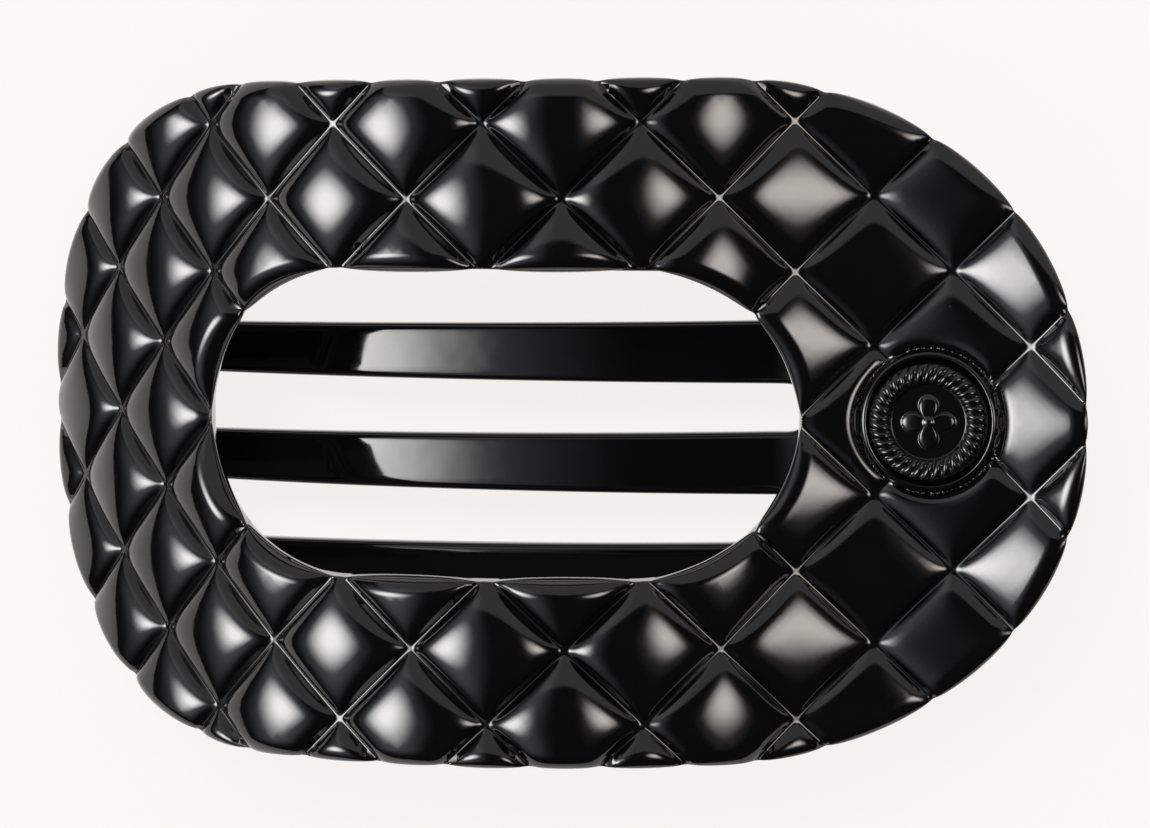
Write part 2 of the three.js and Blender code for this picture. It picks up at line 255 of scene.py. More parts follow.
class Mesh:
    """Collects points and faces, then makes one smooth object of them."""

    def __init__(self):
        self.points = []
        self.faces = []

    def add(self, points, faces):
        first = len(self.points)
        self.points.extend(np.asarray(points, float).tolist())
        self.faces.extend([tuple(int(i) + first for i in face) for face in faces])

    def rings(self, rings, closed=False, caps=False):
        """Quads between rings of equal point counts."""
        count = len(rings[0])
        faces = []
        pairs = len(rings) if closed else len(rings) - 1
        for r in range(pairs):
            here, there = r * count, (r + 1) % len(rings) * count
            for i in range(count):
                j = (i + 1) % count
                faces.append((here + i, here + j, there + j, there + i))
        if caps:
            faces.append(tuple(range(count)))
            faces.append(tuple(range((len(rings) - 1) * count, len(rings) * count)))
        self.add(np.concatenate(rings), faces)

    def make(self, name, material):
        data = bpy.data.meshes.new(name)
        data.from_pydata(placed(self.points).tolist(), [], self.faces)
        body = bmesh.new()
        body.from_mesh(data)
        bmesh.ops.remove_doubles(body, verts=body.verts, dist=1e-6)
        bmesh.ops.recalc_face_normals(body, faces=body.faces)
        body.to_mesh(data)
        body.free()
        data.shade_smooth()
        data.materials.append(material)
        made = bpy.data.objects.new(name, data)
        bpy.context.scene.collection.objects.link(made)
        return made


def filled(loops, loose, inside):
    """Flat triangles over closed loops and loose points, where inside(centres) holds."""
    edges = []
    first = 0
    for loop in loops:
        count = len(loop)
        edges.extend((first + i, first + (i + 1) % count) for i in range(count))
        first += count
    points = [Vector(p) for p in np.concatenate([*loops, loose]).tolist()]
    flat, _, faces, *_ = delaunay_2d_cdt(points, edges, [], 0, 1e-7)
    flat = np.array([tuple(p) for p in flat])
    faces = np.array([tuple(face) for face in faces])
    return flat, faces[inside(flat[faces].mean(axis=1))]


def rounded(depth, width):
    """Rises from 0 at an edge to 1 at `width` in from it, like a quarter circle."""
    share = np.clip(depth / width, 0, 1)
    return np.sqrt(1 - (1 - share) ** 2)


def loop_normals(loop):
    """Outward unit normals of a closed loop that runs anticlockwise."""
    step = np.roll(loop, -1, axis=0) - np.roll(loop, 1, axis=0)
    normal = np.stack([step[:, 1], -step[:, 0]], axis=1)
    return normal / np.linalg.norm(normal, axis=1, keepdims=True)


def measured(loop):
    """Distance along a closed loop at each of its points, and once more at its start."""
    steps = np.linalg.norm(np.roll(loop, -1, axis=0) - loop, axis=1)
    return np.concatenate([[0], np.cumsum(steps)])


def picked(loop, distances):
    """Points of a closed loop at the given distances along it."""
    along = measured(loop)
    closed = np.concatenate([loop, loop[:1]])
    columns = [np.interp(distances, along, closed[:, k]) for k in range(2)]
    return np.stack(columns, axis=1)


def plan_grid(ranges):
    """Plan points on a grid, from the range of each axis."""
    x, y = np.meshgrid(*(np.arange(*span) for span in ranges))
    return np.stack([x.ravel(), y.ravel()], axis=1)


def pin_ring(radius, y, turn):
    """A ring of side-view points round the pin's axis."""
    x = PIN_X + radius * np.cos(turn)
    z = PIN_Z + radius * np.sin(turn)
    return np.stack([x, np.full_like(x, y), z], axis=1)


# ---------- quilted shell ----------

def follow(start, radius, distance):
    """Place and fall after going `distance` along an arc from a start."""
    x, z, fall = start
    end = fall + distance / radius
    x = x + radius * (np.sin(end) - np.sin(fall))
    z = z + radius * (np.cos(end) - np.cos(fall))
    return x, z, end


def on_shell(along, across, lift):
    """Side-view points of places on the shell's curved face."""
    saddle = (0.0, 0.0, SADDLE_FALL)
    nose_root = follow(saddle, BACK_RADIUS, NOSE_START - SADDLE)
    back = follow(saddle, BACK_RADIUS, along - SADDLE)
    tab = follow(saddle, -TAB_RADIUS, along - SADDLE)
    nose = follow(nose_root, NOSE_RADIUS, along - NOSE_START)
    on_tab, on_nose = along >= SADDLE, along < NOSE_START
    x, z, fall = (np.where(on_tab, t, np.where(on_nose, n, b)) for t, n, b in zip(tab, nose, back))
    return np.stack([x + lift * np.sin(fall), across, z + lift * np.cos(fall)], axis=-1)


def oval_depth(along, across, oval):
    """Distance in from an oval's edge, exact near the edge."""
    half_length, half_width, end = oval
    ex = np.maximum(np.abs(along) - (half_length - end), 0) / end
    ey = np.abs(across) / half_width
    reach = np.maximum(np.hypot(ex, ey), 1e-9)
    return (1 - reach) * reach / np.hypot(ex / end, ey / half_width).clip(1e-9)


def oval_outward(along, across, oval):
    """Unit direction out of an oval, at places near its edge."""
    half_length, half_width, end = oval
    nx = np.sign(along) * np.maximum(np.abs(along) - (half_length - end), 0) / end ** 2
    ny = across / half_width ** 2
    size = np.maximum(np.hypot(nx, ny), 1e-9)
    return nx / size, ny / size


def fine_oval(oval):
    """An oval as a closed anticlockwise loop of very short steps."""
    half_length, half_width, end = oval
    straight = half_length - end
    turn = np.linspace(-np.pi / 2, np.pi / 2, OVAL_STEPS)
    right = np.stack([straight + end * np.cos(turn), half_width * np.sin(turn)], axis=1)
    return np.concatenate([right, -right])


def lattice(points):
    """Places in the two families of grooves: a groove is where one of them is whole."""
    along = points[..., 0] / DIAMOND_HALF_LENGTH
    across = points[..., 1] / DIAMOND_HALF_WIDTH
    return (along + across) / 2, (along - across) / 2


def groove_distance(points):
    """Distance from the nearest groove."""
    return np.min([np.abs(place - np.round(place)) for place in lattice(points)], axis=0) * GROOVE_PITCH


def puff(points):
    """0 in the rounded bottoms of the grooves, 1 in the middle of each puff."""
    share = 1.0
    for place in lattice(points):
        from_middle = np.abs(2 * (place - np.floor(place)) - 1)
        swell = np.maximum(1 - from_middle ** PUFF_FULLNESS, 0) ** PUFF_STEEPNESS
        from_groove = (1 - from_middle) * GROOVE_PITCH / 2
        share = share * swell * from_groove ** 2 / (from_groove ** 2 + GROOVE_RADIUS ** 2)
    return share


def quilted_loop(oval, spacing):
    """An oval's loop with points exactly where grooves cross it, and close beside them."""
    fine = fine_oval(oval)
    along = measured(fine)
    crossings = []
    for place in lattice(fine):
        cell = np.floor(place)
        changed = np.nonzero(cell != np.roll(cell, -1))[0]
        whole = np.maximum(cell, np.roll(cell, -1))[changed]
        step = (np.roll(place, -1) - place)[changed]
        crossings.extend(along[changed] + (whole - place[changed]) / step * np.diff(along)[changed])
    crossings = np.array(crossings)
    near = np.concatenate([crossings + shift for shift in CROSSING_SHIFTS])
    even = np.arange(0, along[-1], spacing)
    clear = np.abs(even[:, None] - near[None, :]).min(axis=1) > CROSSING_CLEAR
    distances = np.sort(np.concatenate([near, even[clear]]) % along[-1])
    return picked(fine, distances)


def shell_depth(points):
    """Distance from the ring's nearer edge."""
    along, across = points[..., 0], points[..., 1]
    return np.minimum(oval_depth(along, across, OUTLINE), -oval_depth(along, across, OPENING))


def shell_face(points):
    """The quilted face over flat (along, across) places."""
    along, across = points[:, 0], points[:, 1]
    depth = np.maximum(shell_depth(points), 0)
    from_badge = np.hypot(along - BADGE_PLACE, across)
    relief = np.interp(along, PUFF_PLACES, PUFF_HEIGHTS)
    share = puff(points)
    roll = rounded(depth, EDGE_ROLL) * rounded(np.maximum(from_badge - COLLAR_RADIUS, 0), EDGE_ROLL)
    lift = relief * share * roll
    collar_middle = (SEAT_RADIUS + COLLAR_RADIUS) / 2
    collar_half = (COLLAR_RADIUS - SEAT_RADIUS) / 2
    in_collar = np.abs(from_badge - collar_middle) / collar_half
    collar = COLLAR_LIFT * np.maximum(1 - in_collar ** COLLAR_FULLNESS, 0)
    lift = np.where(from_badge < COLLAR_RADIUS, np.maximum(collar, SEAT_LIFT), lift)
    nearer_opening = -oval_depth(along, across, OPENING) < oval_depth(along, across, OUTLINE)
    out = oval_outward(along, across, OUTLINE)
    hole = oval_outward(along, across, OPENING)
    bulge = EDGE_BULGE * share * (1 - np.clip(depth / EDGE_ROLL, 0, 1)) ** 2
    along = along + bulge * np.where(nearer_opening, -hole[0], out[0])
    across = across + bulge * np.where(nearer_opening, -hole[1], out[1])
    return on_shell(along, across, lift)


def quilt_points():
    """Places on the groove lattice, closer together beside the grooves."""
    near = np.array(PUFF_STEPS) / 2
    cell = np.unique(np.concatenate([near, 1 - near]))[:-1]
    lines = (np.arange(-LATTICE_REACH, LATTICE_REACH)[:, None] + cell[None, :]).ravel()
    first, second = np.meshgrid(lines, lines)
    along = (first + second) * DIAMOND_HALF_LENGTH
    across = (first - second) * DIAMOND_HALF_WIDTH
    return np.stack([along.ravel(), across.ravel()], axis=1)


def badge_rings(radii):
    """Rings of places round the badge."""
    turn = np.linspace(0, 2 * np.pi, BADGE_RING_POINTS, endpoint=False)
    rings = []
    for radius in radii:
        ring = [BADGE_PLACE + radius * np.cos(turn), radius * np.sin(turn)]
        rings.append(np.stack(ring, axis=1))
    return np.concatenate(rings)


def shifted(loop, oval, distance):
    """A loop moved outwards from an oval's middle by `distance`."""
    nx, ny = oval_outward(loop[:, 0], loop[:, 1], oval)
    return loop + np.stack([nx, ny], axis=1) * np.asarray(distance).reshape(-1, 1)


def shell_wall(loop, oval, side):
    """Rings down the shell's edge: `side` is 1 at the outline and -1 at the opening."""
    share = puff(loop)
    rings = [shell_face(loop)]
    for drop, swell in WALL_SWELLS:
        wall = shifted(loop, oval, side * EDGE_BULGE * swell * share)
        rings.append(below_face(wall, drop))
    for drop, inset in WALL_FOOT:
        wall = shifted(loop, oval, -side * inset)
        rings.append(below_face(wall, drop))
    return rings


def below_face(points, drop):
    """Side-view points below the face: square to it at the nose, and plumb elsewhere."""
    along, across = points[:, 0], points[:, 1]
    square = on_shell(along, across, -drop)
    plumb = on_shell(along, across, 0)
    normal = on_shell(along, across, 1) - plumb
    plumb[:, 2] -= drop / normal[:, 2]
    from_opening = np.maximum(-oval_depth(along, across, OPENING), 0)
    from_outline = np.maximum(oval_depth(along, across, OUTLINE), 0)
    share = from_opening / (from_opening + from_outline) * np.clip(along / NOSE_START, 0, 1)
    share = share[:, None]
    return plumb * (1 - share) + square * share


def underside(points):
    """The smooth back of the shell, hollowed a little inside a flat rim."""
    slope = (RIM_STEPS[0], RIM_STEPS[-1])
    drop = np.interp(shell_depth(points), slope, (SHELL_THICKNESS, HOLLOW_DROP))
    return below_face(points, drop)


def lug(middle, reach, upwards):
    """An ear or knuckle round the pin: round on one side and square to `reach` on the other."""
    turn = np.linspace(0, 2 * np.pi, LUG_POINTS, endpoint=False)
    cos, sin = np.cos(turn), np.sin(turn) * (1 if upwards else -1)
    square = np.minimum(EAR_RADIUS / np.abs(cos).clip(1e-9), reach / np.abs(sin).clip(1e-9))
    edge = np.where(sin > 0, square, EAR_RADIUS)
    half = EAR_THICKNESS / 2
    bevel = LUG_BEVEL
    hole = np.full_like(turn, HOLE_RADIUS)
    profile = [
        (hole, half - bevel / 2), (hole + bevel / 2, half), (edge - bevel, half),
        (edge - bevel / 4, half - bevel / 4), (edge, half - bevel),
        (edge, bevel - half), (edge - bevel / 4, bevel / 4 - half), (edge - bevel, -half),
        (hole + bevel / 2, -half), (hole, bevel / 2 - half),
    ]
    return [pin_ring(radius, middle + y, turn) for radius, y in profile]


def face_points(outline, opening):
    """Loose places for the face: in bands along its edges, on the lattice and on the collar."""
    bands = [shifted(outline, OUTLINE, -depth) for depth in EDGE_DEPTHS]
    bands += [shifted(opening, OPENING, depth) for depth in EDGE_DEPTHS]
    bands += [badge_rings(COLLAR_RADIUS + np.array(EDGE_DEPTHS))]
    bands = np.concatenate(bands)
    bands = bands[groove_distance(bands) > GROOVE_CLEAR]
    quilt = quilt_points()
    from_badge = np.hypot(quilt[:, 0] - BADGE_PLACE, quilt[:, 1]) - COLLAR_RADIUS
    clear = np.minimum(shell_depth(quilt), from_badge)
    on_puff = groove_distance(quilt) > GROOVE_CLEAR
    quilt = quilt[clear > np.where(on_puff, EDGE_ROLL + QUILT_MARGIN, EDGE_DEPTHS[0])]
    collar = badge_rings(np.linspace(SEAT_RADIUS, COLLAR_RADIUS, COLLAR_RINGS))
    return np.concatenate([bands, quilt, collar])


def underside_points(outline, opening):
    """Loose places for the underside: along its rim's step, and a grid over the rest."""
    steps = []
    for depth in RIM_STEPS:
        steps.append(shifted(outline[::2], OUTLINE, -depth))
        steps.append(shifted(opening[::2], OPENING, depth))
    grid = plan_grid(UNDERSIDE_GRID)
    grid = grid[shell_depth(grid) > UNDERSIDE_CLEAR]
    return np.concatenate([*steps, grid])


def make_shell(material):
    mesh = Mesh()
    outline = quilted_loop(OUTLINE, OUTLINE_SPACING)
    opening = quilted_loop(OPENING, OPENING_SPACING)
    flat, faces = filled([outline, opening], face_points(outline, opening), lambda p: shell_depth(p) > 0)
    mesh.add(shell_face(flat), faces)
    mesh.rings(shell_wall(outline, OUTLINE, 1))
    mesh.rings(shell_wall(opening, OPENING, -1))
    rims = [shifted(outline, OUTLINE, -RIM_INSET), shifted(opening, OPENING, RIM_INSET)]
    loose = underside_points(outline, opening)
    flat, faces = filled(rims, loose, lambda p: shell_depth(p) > RIM_INSET)
    mesh.add(underside(flat), faces)
    tab_bottom = on_shell(np.array(VALLEY), np.array(0.0), -SHELL_THICKNESS / 2)[2]
    for middle in (EAR_PLACE, -EAR_PLACE):
        mesh.rings(lug(middle, tab_bottom - PIN_Z, True), closed=True)
    return mesh.make("quilted_shell", material)


# ---------- badge ----------

def badge_lift(radius, turn):
    """Height of the badge's face above its flat centre."""
    rope_middle = (ROPE_INNER + BADGE_RADIUS) / 2
    rope_half = (BADGE_RADIUS - ROPE_INNER) / 2
    in_rope = (radius - rope_middle) / rope_half
    rope = ROPE_HEIGHT * np.maximum(1 - in_rope ** 2, 0) ** 0.5
    phase = turn / (2 * np.pi) * BEADS + BEAD_SLANT * in_rope / 2
    bead = np.abs(np.sin(np.pi * phase)) ** BEAD_SHARPNESS
    rope = rope * (ROPE_VALLEY + (1 - ROPE_VALLEY) * bead)
    petal = PETAL_LENGTH * np.abs(np.cos(2 * turn)) ** PETAL_SHARPNESS
    petal = np.maximum(petal, BADGE_CORE)
    motif = PETAL_HEIGHT * np.maximum(1 - (radius / petal) ** 4, 0) ** 0.5
    heart = HEART_HEIGHT * np.maximum(1 - (radius / HEART_RADIUS) ** 2, 0) ** 0.5
    return np.where(np.abs(in_rope) < 1, rope, np.maximum(motif, heart))


def make_badge(material):
    mesh = Mesh()
    turn = np.linspace(0, 2 * np.pi, BEADS * BEAD_POINTS, endpoint=False)
    flat = BADGE_HEIGHT - ROPE_HEIGHT
    centre = np.linspace(BADGE_CORE, ROPE_INNER, FLAT_RINGS)
    over_rope = np.cos(np.linspace(0, np.pi, ROPE_RINGS))
    rope = (ROPE_INNER + BADGE_RADIUS) / 2 - (BADGE_RADIUS - ROPE_INNER) / 2 * over_rope
    rings = []
    for radius in (*centre, *rope[1:]):
        lift = BADGE_FOOT + flat + badge_lift(radius, turn)
        rings.append(badge_ring(radius, turn, lift))
    rings.append(badge_ring(BADGE_RADIUS, turn, BADGE_FOOT + BADGE_FOOT_BEVEL))
    rings.append(badge_ring(BADGE_RADIUS - BADGE_FOOT_BEVEL, turn, BADGE_FOOT))
    mesh.rings(rings, caps=True)
    return mesh.make("rope_badge", material)


def badge_ring(radius, turn, lift):
    """A ring round the badge's own axis, which stands square on the tab."""
    middle = on_shell(np.array(BADGE_PLACE), np.array(0.0), 0.0)
    above = on_shell(np.array(BADGE_PLACE), np.array(0.0), 1.0)
    up = above - middle
    ahead = np.array([up[2], 0.0, -up[0]])
    side = np.array([0.0, 1.0, 0.0])
    reach = radius * np.cos(turn)[:, None] * ahead + radius * np.sin(turn)[:, None] * side
    return middle + reach + np.broadcast_to(lift, turn.shape)[:, None] * up


# ---------- comb ----------

def comb_line(x):
    """Height and slope of the middle of the comb's thickness."""
    centre_x = TINE_START[0] + TINE_RADIUS * math.sin(ROOT_TURN)
    centre_z = TINE_START[1] - TINE_RADIUS * math.cos(ROOT_TURN)
    radius = TINE_RADIUS - COMB_THICKNESS / 2
    root_x = centre_x - radius * math.sin(ROOT_TURN)
    root_z = centre_z + radius * math.cos(ROOT_TURN)
    crest_z = PIN_Z - CREST_DROP
    bridge = (crest_z - root_z) / (PIN_X - root_x)
    lever = -math.tan(LEVER_ANGLE)
    from_centre = np.minimum(x, root_x) - centre_x
    drop = np.sqrt(radius ** 2 - from_centre ** 2)
    z = np.where(x < root_x, centre_z + drop, root_z + bridge * (x - root_x))
    slope = np.where(x < root_x, -from_centre / drop, bridge)
    z = np.where(x > PIN_X, crest_z + lever * (x - PIN_X), z)
    slope = np.where(x > PIN_X, lever, slope)
    for corner_x, corner_z, before, after in (
            (root_x, root_z, math.tan(ROOT_TURN), bridge), (PIN_X, crest_z, bridge, lever)):
        into = x - corner_x + COMB_BEND
        near = np.abs(x - corner_x) < COMB_BEND
        turn = (after - before) / (4 * COMB_BEND)
        z = np.where(near, corner_z + before * (x - corner_x) + turn * into ** 2, z)
        slope = np.where(near, before + 2 * turn * into, slope)
    return z, slope


def on_comb(points, lift):
    """Side-view points of plan points, lifted square off the comb's line."""
    z, slope = comb_line(points[:, 0])
    size = np.hypot(1, slope)
    return np.stack([points[:, 0] - lift * slope / size, points[:, 1], z + lift / size], axis=1)


def arc(x, y, radius, start, stop, steps):
    """Plan points round a circle, from one angle to another in degrees."""
    turn = np.radians(np.linspace(start, stop, steps))
    return np.stack([x + radius * np.cos(turn), y + radius * np.sin(turn)], axis=1)


def comb_outline():
    """The comb in plan: round-ended lever, neck, and tines with round tips and round roots."""
    tip_x = TINE_START[0] + TINE_RADIUS * math.sin(ROOT_TURN)
    tip_x -= (TINE_RADIUS - COMB_THICKNESS / 2) * math.sin(TIP_TURN)
    tip_x += TINE_TIP
    end_x = PIN_X + LEVER_LENGTH * math.cos(LEVER_ANGLE) + COMB_THICKNESS / 3
    half = LEVER_HALF_WIDTH
    half_bar = TINE_MIDDLES[-1] + TINE_ROOT
    share = np.linspace(0, 1, NECK_POINTS)[:, None]
    neck_from = np.array([PIN_X + NECK_EASE, half])
    neck_by = np.array([PIN_X - NECK_EASE, half_bar])
    neck_to = np.array([ROOT_BAR_X, half_bar])
    neck = neck_from * (1 - share) ** 2 + 2 * neck_by * share * (1 - share) + neck_to * share ** 2
    web = TINE_MIDDLES[1] - TINE_MIDDLES[0] - 2 * TINE_ROOT
    parts = [arc(end_x - half, 0, half, 0, 90, LEVER_POINTS), neck]
    for k, middle in enumerate(reversed(TINE_MIDDLES)):
        parts.append(arc(tip_x, middle, TINE_TIP, 90, 270, TIP_POINTS))
        if k < len(TINE_MIDDLES) - 1:
            root_y = middle - TINE_ROOT - web / 2
            parts.append(arc(ROOT_BAR_X - web / 2, root_y, web / 2, 90, -90, ROOT_POINTS))
    parts += [neck[::-1] * (1, -1), arc(end_x - half, 0, half, -90, 0, LEVER_POINTS)[:-1]]
    coarse = np.concatenate(parts)
    length = measured(coarse)[-1]
    return picked(coarse, np.arange(0, length, length / round(length / COMB_SPACING)))


def inside_loop(points, loop):
    """Whether each point is inside a closed loop, by counting crossings."""
    x, y = points[:, 0:1], points[:, 1:2]
    ax, ay = loop[:, 0], loop[:, 1]
    bx, by = np.roll(ax, -1), np.roll(ay, -1)
    spans = (ay > y) != (by > y)
    rise = np.where(by == ay, 1, by - ay)
    crossing = ax + (y - ay) / rise * (bx - ax)
    return (spans & (x < crossing)).sum(axis=1) % 2 == 1


def make_comb(material):
    mesh = Mesh()
    outline = comb_outline()
    normals = loop_normals(outline)
    loops = [outline - normals * depth for depth in BEVEL_DEPTHS]
    half = COMB_THICKNESS / 2
    top = half - COMB_BEVEL * (1 - rounded(np.array(BEVEL_DEPTHS), COMB_BEVEL))
    upper = [on_comb(loop, lift) for loop, lift in zip(loops, top)]
    lower = [on_comb(loop, -lift) for loop, lift in zip(loops, top)]
    mesh.rings(upper[::-1] + lower)
    grid = plan_grid(COMB_GRID)
    far = np.array([np.hypot(*(outline - p).T).min() for p in grid]) > COMB_CLEAR
    grid = grid[far & inside_loop(grid, outline)]
    flat, faces = filled([loops[-1]], grid, lambda p: inside_loop(p, loops[-1]))
    mesh.add(on_comb(flat, half), faces)
    mesh.add(on_comb(flat, -half), faces)
    for middle in (KNUCKLE_PLACE, -KNUCKLE_PLACE):
        mesh.rings(lug(middle, CREST_DROP, False), closed=True)
    return mesh.make("moulded_comb", material)


# ---------- pin and spring ----------

def make_pin(material):
    """A drawn pin with a domed head at each end."""
    mesh = Mesh()
    shoulder = EAR_PLACE + EAR_THICKNESS / 2 + PIN_END_PLAY
    right = [(PIN_RADIUS, shoulder - PIN_FILLET), (PIN_HEAD_RADIUS - PIN_HEAD_CHAMFER, shoulder)]
    dome = PIN_HEAD_THICKNESS - PIN_HEAD_RIM
    for rise in np.linspace(0, np.pi / 2, DOME_STEPS)[:-1]:
        y = shoulder + PIN_HEAD_RIM + dome * np.sin(rise)
        right.append((PIN_HEAD_RADIUS * np.cos(rise), y))
    right.append((PIN_FILLET, shoulder + PIN_HEAD_THICKNESS))
    profile = [(radius, -y) for radius, y in reversed(right)] + right
    turn = np.linspace(0, 2 * np.pi, PIN_POINTS, endpoint=False)
    mesh.rings([pin_ring(radius, y, turn) for radius, y in profile], caps=True)
    return mesh.make("drawn_pin", material)


def spring_line(travelled):
    """The wire's middle, for shares of its length: under the tab, round the pin, to the lever."""
    start = math.pi / 2 + TAB_LEG_RISE
    turned_by = (2 * COIL_TURNS + 1) * math.pi - LEVER_ANGLE - TAB_LEG_RISE - LEVER_LEG_LEAN
    coil = turned_by * COIL_RADIUS
    travelled = travelled * (coil + 2 * LEG_LENGTH) - LEG_LENGTH
    on_coil = np.clip(travelled, 0, coil)
    beyond = travelled - on_coil
    turn = start + on_coil / COIL_RADIUS
    y = (on_coil / coil - 0.5) * COIL_TURNS * COIL_PITCH
    x = PIN_X + COIL_RADIUS * np.cos(turn) - beyond * np.sin(turn)
    z = PIN_Z + COIL_RADIUS * np.sin(turn) + beyond * np.cos(turn)
    return np.stack([x, y, z], axis=-1)


def make_spring(material):
    """A round wire along the spring's line."""
    mesh = Mesh()
    steps = np.linspace(0, 1, SPRING_STEPS)
    centres = spring_line(steps)
    nudge = 1e-4
    ahead = spring_line(steps + nudge) - spring_line(steps - nudge)
    ahead /= np.linalg.norm(ahead, axis=1, keepdims=True)
    side = np.cross(ahead, [0.0, 1.0, 0.0])
    side /= np.linalg.norm(side, axis=1, keepdims=True)
    over = np.cross(side, ahead)
    turn = np.linspace(0, 2 * np.pi, WIRE_POINTS, endpoint=False)
    radii = np.full(len(steps), WIRE_RADIUS)
    radii[[0, -1]] = WIRE_RADIUS * CUT_END
    rings = []
    for centre, s, o, radius in zip(centres, side, over, radii):
        rings.append(centre + radius * (np.cos(turn)[:, None] * s + np.sin(turn)[:, None] * o))
    mesh.rings(rings, caps=True)
    return mesh.make("wound_spring", material)


# ---------- materials ----------

class Nodes:
    """A short way to add and join shader nodes."""

    def __init__(self, tree):
        self.tree = tree
        tree.nodes.clear()

    def add(self, kind, settings=None, **inputs):
        node = self.tree.nodes.new(kind)
        for name, value in (settings or {}).items():
            setattr(node, name, value)
        for name, value in inputs.items():
            self.feed(node.inputs[name.replace("_", " ")], value)
        return node

    def feed(self, socket, value):
        if isinstance(value, bpy.types.NodeSocket):
            self.tree.links.new(value, socket)
        else:
            socket.default_value = value

    def maths(self, operation, first, second=0.0):
        node = self.add("ShaderNodeMath", {"operation": operation})
        self.feed(node.inputs[0], first)
        self.feed(node.inputs[1], second)
        return node.outputs[0]

    def vector(self, operation, first, second=None):
        node = self.add("ShaderNodeVectorMath", {"operation": operation})
        self.feed(node.inputs[0], first)
        if second is not None:
            self.feed(node.inputs["Scale" if operation == "SCALE" else 1], second)
        return node.outputs["Value" if operation in ("DOT_PRODUCT", "LENGTH") else "Vector"]

    def mixed(self, share, first, second):
        """One colour blended into another by a share."""
        node = self.add("ShaderNodeMix", {"data_type": "RGBA"})
        first_colour, second_colour, mixed_colour = 6, 7, 2  # where this node keeps its colours
        self.feed(node.inputs["Factor"], share)
        self.feed(node.inputs[first_colour], (*first, 1.0))
        self.feed(node.inputs[second_colour], (*second, 1.0))
        return node.outputs[mixed_colour]

    def ranged(self, value, low, high, to_low, to_high, kind="LINEAR"):
        node = self.add("ShaderNodeMapRange", {"interpolation_type": kind})
        self.feed(node.inputs["Value"], value)
        for name, number in zip(("From Min", "From Max", "To Min", "To Max"), (low, high, to_low, to_high)):
            node.inputs[name].default_value = number
        return node.outputs["Result"]


def new_material(name):
    material = bpy.data.materials.new(name)
    material.use_nodes = True
    return material, Nodes(material.node_tree)


def gloss_plastic(name, colour, roughness, ripple):
    """Polished moulded plastic: slow ripples, uneven polish and hair-fine handling marks."""
    material, nodes = new_material(name)
    place = nodes.add("ShaderNodeTexCoord").outputs["Object"]
    slow = nodes.add("ShaderNodeTexNoise", Vector=place, Scale=160.0, Detail=2.0)
    polish = nodes.add("ShaderNodeTexNoise", Vector=place, Scale=420.0, Detail=5.0)
    stretch = nodes.add("ShaderNodeMapping", Vector=place, Scale=(250.0, 5200.0, 900.0),
                        Rotation=(0.2, 0.3, 0.5))
    marks = nodes.add("ShaderNodeTexNoise", Vector=stretch.outputs["Vector"], Scale=1.0, Detail=2.0)
    fine = nodes.ranged(marks.outputs["Fac"], 0.66, 0.74, 0.0, 1.0)
    rough = nodes.ranged(polish.outputs["Fac"], 0.35, 0.7, roughness * 0.75, roughness * 1.5)
    rough = nodes.maths("ADD", rough, nodes.maths("MULTIPLY", fine, 0.03))
    waves = nodes.add("ShaderNodeBump", Strength=ripple, Distance=0.0004,
                      Height=slow.outputs["Fac"])
    scratches = nodes.add("ShaderNodeBump", Strength=0.12, Distance=0.000004, Height=fine,
                          Normal=waves.outputs["Normal"])
    paler = [1.25 * c for c in colour]
    tint = nodes.mixed(slow.outputs["Fac"], colour, paler)
    shader = nodes.add("ShaderNodeBsdfPrincipled", Base_Color=tint, Roughness=rough,
                       Normal=scratches.outputs["Normal"], IOR=PLASTIC_IOR)
    nodes.add("ShaderNodeOutputMaterial", Surface=shader.outputs["BSDF"])
    return material


def drawn_steel(name, colour, roughness, grain):
    """Steel wire or rod, with fine lines from drawing and a little dullness in patches."""
    material, nodes = new_material(name)
    place = nodes.add("ShaderNodeTexCoord").outputs["Object"]
    stretch = nodes.add("ShaderNodeMapping", Vector=place, Scale=grain)
    lines = nodes.add("ShaderNodeTexNoise", Vector=stretch.outputs["Vector"], Scale=1.0, Detail=3.0)
    patches = nodes.add("ShaderNodeTexNoise", Vector=place, Scale=500.0, Detail=3.0)
    rough = nodes.ranged(patches.outputs["Fac"], 0.3, 0.7, roughness * 0.7, roughness * 1.4)
    bump = nodes.add("ShaderNodeBump", Strength=0.25, Distance=0.00002, Height=lines.outputs["Fac"])
    darker = [0.8 * c for c in colour]
    tint = nodes.mixed(patches.outputs["Fac"], darker, colour)
    shader = nodes.add("ShaderNodeBsdfPrincipled", Base_Color=tint, Roughness=rough,
                       Normal=bump.outputs["Normal"], Metallic=1.0)
    nodes.add("ShaderNodeOutputMaterial", Surface=shader.outputs["BSDF"])
    return material


def pale_floor():
    """A lit white table: mostly its own glow, so that shadows stay soft."""
    material, nodes = new_material("pale_floor")
    diffuse = nodes.add("ShaderNodeBsdfDiffuse", Color=FLOOR_COLOUR)
    glow = nodes.add("ShaderNodeEmission", Color=FLOOR_GLOW, Strength=FLOOR_GLOW_STRENGTH)
    both = nodes.add("ShaderNodeAddShader")
    nodes.feed(both.inputs[0], diffuse.outputs[0])
    nodes.feed(both.inputs[1], glow.outputs[0])
    nodes.add("ShaderNodeOutputMaterial", Surface=both.outputs[0])
    return material


# ---------- studio ----------

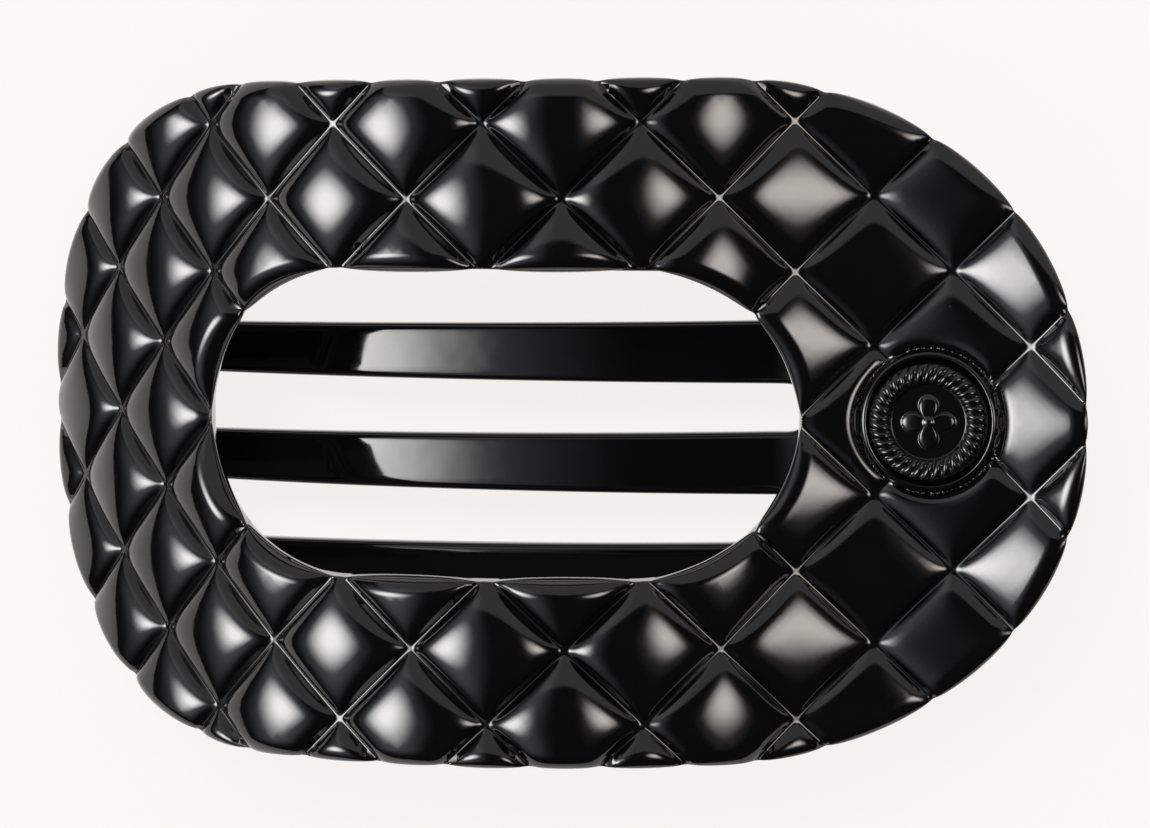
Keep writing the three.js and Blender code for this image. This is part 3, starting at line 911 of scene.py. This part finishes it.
def softbox(nodes, direction, toward, size, softness, colour, strength):
    """A soft-edged light far off in one direction of the room."""
    aim = Vector(turned(toward)).normalized()
    across = aim.cross(Vector((0, 1, 0))).normalized()
    up = across.cross(aim).normalized()
    x = nodes.maths("DIVIDE", nodes.vector("DOT_PRODUCT", direction, across), size[0])
    y = nodes.maths("DIVIDE", nodes.vector("DOT_PRODUCT", direction, up), size[1])
    spread = nodes.add("ShaderNodeCombineXYZ", X=x, Y=y)
    distance = nodes.vector("LENGTH", spread.outputs["Vector"])
    light = nodes.ranged(distance, 1 - softness, 1 + softness, strength, 0.0, "SMOOTHSTEP")
    facing = nodes.maths("GREATER_THAN", nodes.vector("DOT_PRODUCT", direction, tuple(aim)), 0.0)
    return nodes.vector("SCALE", colour, nodes.maths("MULTIPLY", light, facing))


def make_room():
    """Gloss mirrors a dim room with two softboxes and a card; all else sees a plain pale one."""
    world = bpy.data.worlds.new("room")
    world.use_nodes = True
    bpy.context.scene.world = world
    nodes = Nodes(world.node_tree)
    direction = nodes.add("ShaderNodeTexCoord").outputs["Generated"]
    total = DIM_ROOM
    for light in LIGHTS:
        total = nodes.vector("ADD", total, softbox(nodes, direction, *light))
    room = nodes.add("ShaderNodeBackground", Color=total, Strength=1.0)
    pale = nodes.add("ShaderNodeBackground", Color=PALE_ROOM, Strength=1.0)
    mirrored = nodes.add("ShaderNodeLightPath").outputs["Is Glossy Ray"]
    mix = nodes.add("ShaderNodeMixShader", Fac=mirrored)
    nodes.feed(mix.inputs[1], pale.outputs[0])
    nodes.feed(mix.inputs[2], room.outputs[0])
    nodes.add("ShaderNodeOutputWorld", Surface=mix.outputs[0])


def make_floor():
    half = FLOOR_HALF
    data = bpy.data.meshes.new("floor")
    corners = [(-half, -half, 0), (half, -half, 0), (half, half, 0), (-half, half, 0)]
    data.from_pydata(corners, [], [(0, 1, 2, 3)])
    data.materials.append(pale_floor())
    floor = bpy.data.objects.new("floor", data)
    bpy.context.scene.collection.objects.link(floor)


def make_overhead_light():
    """A broad light a little behind the clip, only for the soft shadow in front of it."""
    data = bpy.data.lights.new("overhead", "AREA")
    data.shape = "DISK"
    data.size = OVERHEAD_SIZE
    data.energy = OVERHEAD_POWER
    light = bpy.data.objects.new("overhead", data)
    light.location = OVERHEAD_PLACE
    light.rotation_euler = (-Vector(light.location)).to_track_quat("-Z", "Y").to_euler()
    light.visible_glossy = False
    bpy.context.scene.collection.objects.link(light)


def make_camera():
    cos, sin = math.cos(CAMERA_PITCH), math.sin(CAMERA_PITCH)
    level_up, level_right = np.array([0, cos, -sin]), np.array([1.0, 0, 0])
    cos_roll, sin_roll = math.cos(CAMERA_ROLL), math.sin(CAMERA_ROLL)
    right = turned(cos_roll * level_right - sin_roll * level_up)
    up = turned(sin_roll * level_right + cos_roll * level_up)
    back = turned([0, sin, cos])
    turn = Matrix([right, up, back]).transposed().to_4x4()
    data = bpy.data.cameras.new("camera")
    data.sensor_width = SENSOR_WIDTH
    data.lens = LENS
    data.clip_start = NEAREST_SEEN
    camera = bpy.data.objects.new("camera", data)
    camera.matrix_world = Matrix.Translation(placed(CAMERA_PLACE)) @ turn
    bpy.context.scene.collection.objects.link(camera)
    bpy.context.scene.camera = camera


def make_studio():
    make_camera()
    make_floor()
    make_overhead_light()
    make_room()
    settings = bpy.context.scene.view_settings
    settings.view_transform = "Standard"
    settings.look = "None"
    settings.exposure = 0.0
    settings.gamma = 1.0


# ---------- assembly ----------

def make_clip():
    shell_black = gloss_plastic("shell_plastic", GLOSS_BLACK, roughness=0.07, ripple=0.05)
    comb_black = gloss_plastic("comb_plastic", GLOSS_BLACK, roughness=0.06, ripple=0.08)
    badge_black = gloss_plastic("badge_plastic", BADGE_BLACK, roughness=0.08, ripple=0.05)
    pin_steel = drawn_steel("pin_steel", PIN_GREY, 0.28, grain=(3000.0, 120.0, 3000.0))
    spring_steel = drawn_steel("spring_steel", SPRING_GREY, 0.3, grain=(900.0, 5000.0, 900.0))
    shell = make_shell(shell_black)
    badge = make_badge(badge_black)
    comb = make_comb(comb_black)
    pin = make_pin(pin_steel)
    spring = make_spring(spring_steel)
    for piece, node, body, slot in (
            (shell, "upper_shell", "shell", "shell_plastic"),
            (badge, "badge_insert", "shell", "badge_plastic"),
            (comb, "lower_comb", "comb", "comb_plastic"),
            (pin, "hinge_pin", "shell", "pin_steel")):
        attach(piece, body)
        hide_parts(node)
    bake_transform(spring)
    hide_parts("torsion_spring")


make_studio()
make_clip()
